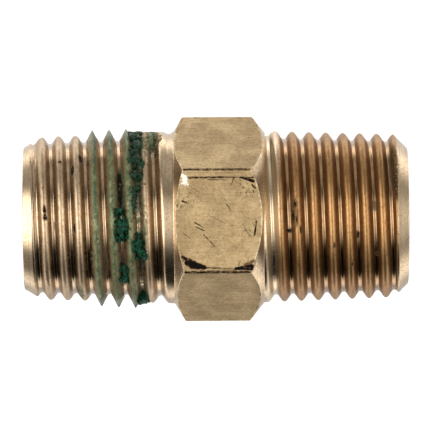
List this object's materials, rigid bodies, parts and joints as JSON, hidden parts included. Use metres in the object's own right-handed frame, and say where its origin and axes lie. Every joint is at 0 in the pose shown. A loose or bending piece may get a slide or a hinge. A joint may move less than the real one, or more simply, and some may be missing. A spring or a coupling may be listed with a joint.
{
  "type": "hex nipple",
  "caption": "Short brass pipe nipple with a tapered male thread at each end, a central hexagon and a through bore, with old green sealant dried on one thread.",
  "frame": {"origin": "on the axis of the bore and threads, midway between the two end faces", "axes": "+X along the bore from the thread that carries sealant to the clean one, +Z out of one hexagon flat, so that the nipple lies on the opposite flat, +Y towards a hexagon corner"},
  "size_m": [0.0304, 0.0161, 0.014],
  "materials": {
    "brass": "turned and handled, satin with worn marks",
    "sealant_film": "thin dried paste, semi-matte",
    "sealant_lump": "dried paste, glossy"
  },
  "bodies": {
    "root": {"nipple_body": "brass", "sealant_ridge_turn_4": "sealant_film", "sealant_ridge_turn_5": "sealant_film", "sealant_ridge_turn_6": "sealant_film", "sealant_bridge_top": "sealant_film", "sealant_lump_upper": "sealant_lump", "sealant_streak": "sealant_lump", "sealant_lump_middle": "sealant_lump", "sealant_lump_lower": "sealant_lump", "sealant_dab_low": "sealant_lump", "sealant_dab_edge": "sealant_lump"}
  },
  "joints": []
}
